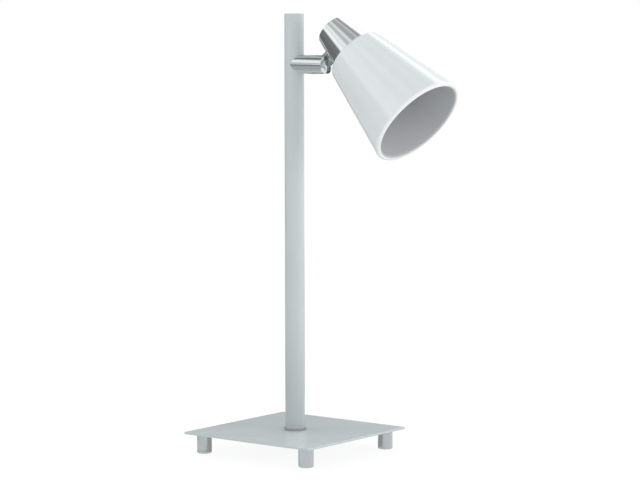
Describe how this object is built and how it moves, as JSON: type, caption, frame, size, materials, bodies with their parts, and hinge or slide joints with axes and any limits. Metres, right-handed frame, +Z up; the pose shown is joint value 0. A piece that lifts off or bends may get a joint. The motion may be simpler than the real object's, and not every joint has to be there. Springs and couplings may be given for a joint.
{
  "type": "swivel table lamp",
  "caption": "Table lamp: square plate on short feet, slim swivelling post, chrome arm, and a tilting head with a pale conical glass shade.",
  "frame": {"origin": "on the post's axis at table level, between the four feet", "axes": "+Z up along the post, +X along the arm, the way the head points"},
  "size_m": [0.2494, 0.15, 0.4164],
  "materials": {
    "silver_paint": "satin silver-grey coat",
    "foot_metal": "satin turned",
    "chrome": "polished",
    "zinc_steel": "zinc plated",
    "dark_washer": "dark nylon",
    "clear_pad": "soft grey",
    "shade_glass": "opaque white, glossy",
    "holder_plastic": "moulded",
    "ceramic": "glazed",
    "brass": "drawn"
  },
  "bodies": {
    "base": {"base_plate": "silver_paint", "foot_studs": "zinc_steel", "foot_front_left": "foot_metal", "foot_front_right": "foot_metal", "foot_back_left": "foot_metal", "foot_back_right": "foot_metal", "pad_front_left": "clear_pad", "pad_front_right": "clear_pad", "pad_back_left": "clear_pad", "pad_back_right": "clear_pad", "swivel_washer": "dark_washer", "slide_washer": "dark_washer", "stop_pin": "zinc_steel"},
    "post": {"post_ferrule": "silver_paint", "post_nipple": "zinc_steel", "stop_washer": "zinc_steel", "spring_washer": "zinc_steel", "post_nut": "zinc_steel", "lead_bush": "dark_washer", "post_tube": "silver_paint", "post_cap": "silver_paint", "arm_anchor": "zinc_steel", "arm_nipple": "zinc_steel", "arm": "chrome", "arm_set_screw": "zinc_steel", "friction_washers": "dark_washer", "pivot_screw": "chrome"},
    "head": {"head_tab": "chrome", "lamp_cap": "chrome", "wire_grommet": "dark_washer", "holder_bracket": "zinc_steel", "tab_nut": "zinc_steel", "holder_nipple": "zinc_steel", "holder_nut": "zinc_steel", "lamp_holder": "holder_plastic", "socket_insulator": "ceramic", "socket_shell": "brass", "centre_contact": "brass", "terminals": "brass", "terminal_screws": "zinc_steel", "shade": "shade_glass", "shade_ring": "holder_plastic"}
  },
  "joints": [
    {"name": "post_swivel", "type": "hinge", "parent": "base", "child": "post", "pos_m": [0, 0, 0.0228], "axis": [0, 0, 1], "range_deg": [-160, 160]},
    {"name": "head_tilt", "type": "hinge", "parent": "post", "child": "head", "pos_m": [0.0335, 0, 0.369], "axis": [0, 1, 0], "range_deg": [-40, 50]}
  ]
}
